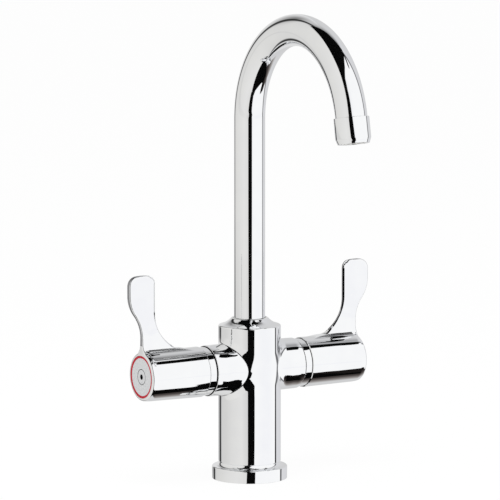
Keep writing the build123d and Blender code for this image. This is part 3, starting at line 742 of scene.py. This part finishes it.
# Trim rings
# The narrow chrome band between arm and lever, clamped by the valve's hexagon. A shadow groove
# parts it from the arm, and its spigot reaches into the lever's hollow hub.
def mirrored_copy(piece, name):
    """The same piece for the other side, mirrored in the mesh about the tap's middle."""
    bpy.ops.object.select_all(action="DESELECT")
    copy = bpy.data.objects.new(name, piece.data.copy())
    bpy.context.scene.collection.objects.link(copy)
    bpy.context.view_layer.objects.active = copy
    copy.select_set(True)
    bpy.ops.object.mode_set(mode="EDIT")
    bpy.ops.mesh.select_all(action="SELECT")
    bpy.ops.transform.mirror(constraint_axis=(True, False, False), center_override=(0, 0, 0))
    bpy.ops.mesh.normals_make_consistent(inside=False)
    bpy.ops.object.mode_set(mode="OBJECT")
    smooth_shading(copy, crease_angle)
    return copy


def darken_faces(piece, chosen):
    """Gives the piece's second material, the painted joint shade, to its faces at chosen places.
    The choice is made from the distances along and from the handle axis, in mm."""
    for face in piece.data.polygons:
        out = abs(face.center.x) / MM
        radius = sqrt(face.center.y ** 2 + (face.center.z - handle_height) ** 2) / MM
        if chosen(out, radius):
            face.material_index = 1


handle_centre = Vector((0, 0, handle_height))
arm_end = 36.3
arm_radius = 18.5
groove_floor = 16.4
groove_end = 37.0
band_radius = 17.2
band_end = 42.1
spigot_radius = 15.1
spigot_end = 45.3
ring_bore = 14.2
hexagon_bore = 10.48
hexagon_end = 38.3
# painted shade deep in the joints, where no light reaches: a near-black colour on their faces, so each
# reads as a thin black line
joint_shadow = plain_material(
    "painted_joint_shade", "#0B0B0C", "#161617", 0.5, 0.7, 2 * MM, metallic=0.6,
)
cold_ring = spun_piece("cold_trim_ring_finish", [
    (hexagon_bore, arm_end),
    (groove_floor, arm_end),
    (groove_floor, groove_end),
    (band_radius, groove_end),
    (band_radius, band_end),
    (spigot_radius, band_end),
    (spigot_radius, spigot_end),
    (ring_bore, spigot_end),
    (ring_bore, hexagon_end),
    (hexagon_bore, hexagon_end),
], handle_centre, rightward, upward, edge_round=0.25)
cold_ring.data.materials.append(chrome)
cold_ring.data.materials.append(joint_shadow)
# painted shade: the ring's face towards the arm and the groove's floor get the near-black joint colour
darken_faces(cold_ring, lambda out, radius: radius < groove_floor + 0.3 and out < groove_end)
hot_ring = mirrored_copy(cold_ring, "hot_trim_ring_finish")
# painted shade: the arm's end face round the ring gets the near-black joint colour
casting.data.materials.append(joint_shadow)
darken_faces(casting, lambda out, radius: out > arm_end - 0.03 and radius < arm_radius)
for ring, name in ((cold_ring, "cold_trim_ring"), (hot_ring, "hot_trim_ring")):
    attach(ring, "body")
    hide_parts(name)


# Lever handles
# Hub and upright grip are one hollow casting, chrome plated. The hub tapers a little outwards to
# a soft crown. The grip thins towards its inner edge, which is ground off on both faces.
blade_inner = 77.8 * MM
blade_outer = 98.95 * MM
flare_centre = (51.3 * MM, 44.15 * MM)
flare_radius = 26.5 * MM
corner_centre = (83.3 * MM, 65.15 * MM)
corner_radius = 5.5 * MM
rim_width = 1.3 * MM
half_thickness = 2.2 * MM
inner_share = 0.55
well_inside = 1.0
thin_start = 16 * MM
thin_full = 30 * MM
ground_start = 18 * MM
ground_full = 21 * MM
# leans and slopes in degrees
ground_lean = 30
foot_lean = 15
foot_slope = 30
top_slope = 70
level_slope = 90
# the mesh gets a row of edges at every half millimetre of the blade's foot and top
row_height = 0.5 * MM
foot_rows = range(32, 64)
top_rows = range(130, 142)
hub_start = 42.4 * MM
hub_end = 88.8 * MM
crown_start = 84.0 * MM
crown_rows = 8
# radii, draft and drop in millimetres
hub_radius = 17.65
hub_skin = 15.8
hub_clear = 24
hub_draft = 0.25
crown_drop = 0.5
blade_crease = 24


def eased(value, low, high):
    """Zero below low, one above high, with a soft start and end."""
    share = min(max((value - low) / (high - low), 0.0), 1.0)
    return share * share * (3 - 2 * share)


def inner_outline(out, up):
    """How deep a point lies inside the blade's inner edge, and the direction into the blade."""
    if up > corner_centre[1]:
        from_centre = Vector((out - corner_centre[0], up - corner_centre[1]))
        if from_centre.x > 0:
            return well_inside, Vector((0, 0))
        return corner_radius - from_centre.length, -from_centre.normalized()
    if up > flare_centre[1]:
        return out - blade_inner, Vector((1, 0))
    from_centre = Vector((out - flare_centre[0], up - flare_centre[1]))
    return from_centre.length - flare_radius, from_centre.normalized()


def shape_blade(lever, side):
    """Tapers and crowns the hub, thins the grip towards its inner edge and grinds that edge.

    The edge's rounding becomes a flat that leans more where the edge runs out into the hub."""
    bpy.context.view_layer.objects.active = lever
    bpy.ops.object.mode_set(mode="EDIT")
    for row in [*foot_rows, *top_rows]:
        bpy.ops.mesh.select_all(action="SELECT")
        bpy.ops.mesh.bisect(plane_co=(0, 0, handle_height + row * row_height), plane_no=(0, 0, 1))
    for row in range(crown_rows):
        out = crown_start + (hub_end - crown_start) * row / crown_rows
        bpy.ops.mesh.select_all(action="SELECT")
        bpy.ops.mesh.bisect(plane_co=(out * side, 0, handle_height), plane_no=(1, 0, 0))
    bpy.ops.object.mode_set(mode="OBJECT")
    for vertex in lever.data.vertices:
        out = vertex.co.x * side
        up = vertex.co.z - handle_height
        radius = sqrt(vertex.co.y ** 2 + up ** 2) / MM
        if radius > hub_skin:
            along = (out - hub_start) / (hub_end - hub_start)
            grow = hub_draft * (1 - 2 * along) * (1 - eased(radius, hub_radius + 0.5, hub_clear))
            crown = max((out - crown_start) / (hub_end - crown_start), 0) ** 2
            grow -= crown_drop * crown * (1 - eased(radius, hub_radius + 0.1, hub_radius + 1))
            vertex.co.y *= 1 + grow / radius
            vertex.co.z = handle_height + up * (1 + grow / radius)
        if up < thin_start:
            continue
        across = min(max((out - blade_inner) / (blade_outer - blade_inner), 0.0), 1.0)
        share = 1 - (1 - inner_share) * (1 - across) * eased(up, thin_start, thin_full)
        depth, inward = inner_outline(out, up)
        flat = half_thickness - rim_width
        if depth < rim_width and abs(vertex.co.y) > flat:
            slope = degrees(atan2(-inward.y, inward.x))
            lean = radians(ground_lean + foot_lean * min(slope / foot_slope, 1.0))
            ground = (abs(vertex.co.y) - flat) * share / tan(lean) - depth
            ground *= eased(up, ground_start, ground_full)
            if up > corner_centre[1]:
                ground *= 1 - eased(slope, top_slope, level_slope)
            vertex.co.x += side * inward.x * ground
            vertex.co.z += inward.y * ground
        vertex.co.y *= share
    smooth_shading(lever, blade_crease)


rim_start = 22 * MM
rim_facing = 0.5
hub_mouth = 42.45
socket_radius = 15.45
socket_end = 53.1
# the edge facets: a rougher metal, and a darker grey than the polished faces
dull_rim_facets = plain_material(
    "dull_grey_rim_facets", "#9C9DA0", "#A4A5A8", 0.28, 0.36, 2 * MM, metallic=1.0,
)
for name, body, side in (("cold_lever_handle", "cold_lever", 1), ("hot_lever_handle", "hot_lever", -1)):
    lever = smooth_copy(name, name + "_finish", body)
    shape_blade(lever, side)
    lever.data.materials.append(chrome)
    lever.data.materials.append(joint_shadow)
    # painted shade: the hub's mouth and the socket inside it get the near-black joint colour
    darken_faces(
        lever, lambda out, radius: out < hub_mouth or (radius < socket_radius and out < socket_end),
    )
    lever.data.materials.append(dull_rim_facets)
    for face in lever.data.polygons:
        if abs(face.normal.y) < rim_facing and face.center.z > handle_height + rim_start:
            face.material_index = 2


# Index rings and caps
# Each hub is closed by a satin grey disc with a turned line and a small hole, in a coloured
# plastic ring: red on the hot side, blue on the cold side.
# plastics coloured right through, dull enough to keep their colour under a white light tent
red_plastic = plain_material("red_index_plastic", "#AE0A22", "#B60E28", 0.35, 0.45, 2 * MM)
red_plastic.node_tree.nodes["Principled BSDF"].inputs["Specular IOR Level"].default_value = 0.2
blue_plastic = plain_material("blue_index_plastic", "#1E4C9C", "#2455A8", 0.22, 0.32, 2 * MM)
grey_plastic = plain_material("satin_grey_disc", "#C4C5C6", "#CBCCCD", 0.25, 0.36, 2 * MM)
ring_inner = 13.4
ring_outer = 15.0
seat_end = 86.4
cap_face = 88.55
hole_radius = 1.9
line_inner = 5.1
line_outer = 5.6
line_depth = 0.4
cap_back = 86.2
clip_end = 82.4
clip_outer = 10.95
clip_inner = 9.55
cold_index_ring = spun_piece("cold_index_ring_finish", [
    (ring_inner, seat_end),
    (ring_outer, seat_end),
    (ring_outer, cap_face + 0.15),
    (ring_inner, cap_face + 0.15),
], handle_centre, rightward, upward, edge_round=0.2)
cold_index_cap = spun_piece("cold_index_cap_finish", [
    (hole_radius, seat_end),
    (hole_radius, cap_face),
    (line_inner, cap_face),
    ((line_inner + line_outer) / 2, cap_face - line_depth),
    (line_outer, cap_face),
    (ring_inner - 0.05, cap_face),
    (ring_inner - 0.05, seat_end),
    (clip_outer, seat_end),
    (clip_outer, clip_end),
    (clip_inner, clip_end),
    (clip_inner, cap_back),
    (hole_radius, cap_back),
], handle_centre, rightward, upward, edge_round=0.06)
cold_index_cap.data.materials.append(grey_plastic)
cold_index_cap.data.materials.append(joint_shadow)
# painted shade: the hole, the turned line and the back within it get the near-black joint colour
darken_faces(cold_index_cap, lambda out, radius: out < cap_face - 0.05 and radius < line_outer)
hot_index_ring = mirrored_copy(cold_index_ring, "hot_index_ring_finish")
hot_index_cap = mirrored_copy(cold_index_cap, "hot_index_cap_finish")
cold_index_ring.data.materials.append(blue_plastic)
hot_index_ring.data.materials.append(red_plastic)
for piece, name, body in (
    (cold_index_ring, "cold_index_ring", "cold_lever"),
    (cold_index_cap, "cold_index_cap", "cold_lever"),
    (hot_index_ring, "hot_index_ring", "hot_lever"),
    (hot_index_cap, "hot_index_cap", "hot_lever"),
):
    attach(piece, body)
    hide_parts(name)


# Valves
# A half-inch quarter-turn valve in each arm: brass housing and spindle, two ceramic discs, a
# seat seal, O-rings and a steel clip. The lever sits on the spline, held by a steel screw.
# lapped alumina: off-white, smooth and with a low shine
ceramic = plain_material("ground_alumina_ceramic", "#ECEAE4", "#F3F1EC", 0.1, 0.2, 3 * MM)
for side in ("cold", "hot"):
    for part, body, look in (
        ("cartridge_housing", "body", brass),
        ("housing_o_ring", "body", rubber),
        ("seat_seal", "body", rubber),
        ("fixed_disc", "body", ceramic),
        ("moving_disc", side + "_lever", ceramic),
        ("spindle", side + "_lever", brass),
        ("spindle_o_rings", side + "_lever", rubber),
        ("spindle_clip", side + "_lever", steel),
        ("handle_screw", side + "_lever", steel),
    ):
        name = side + "_" + part
        smooth_copy(name, name + "_finish", body).data.materials.append(look)


# Deck mounting
# Under the deck: a brass shank with an M32 thread, a rubber gasket, a steel washer and a brass
# hexagon nut. A rubber seal lies in the groove under the flange.
for name, look in (
    ("base_seal", rubber),
    ("mounting_shank", brass),
    ("clamp_gasket", rubber),
    ("clamp_washer", steel),
    ("lock_nut", brass),
):
    piece = smooth_copy(name, name + "_finish", "body")
    piece.data.materials.append(look)
    # the deck would keep these out of the chrome's reflections
    piece.visible_glossy = False
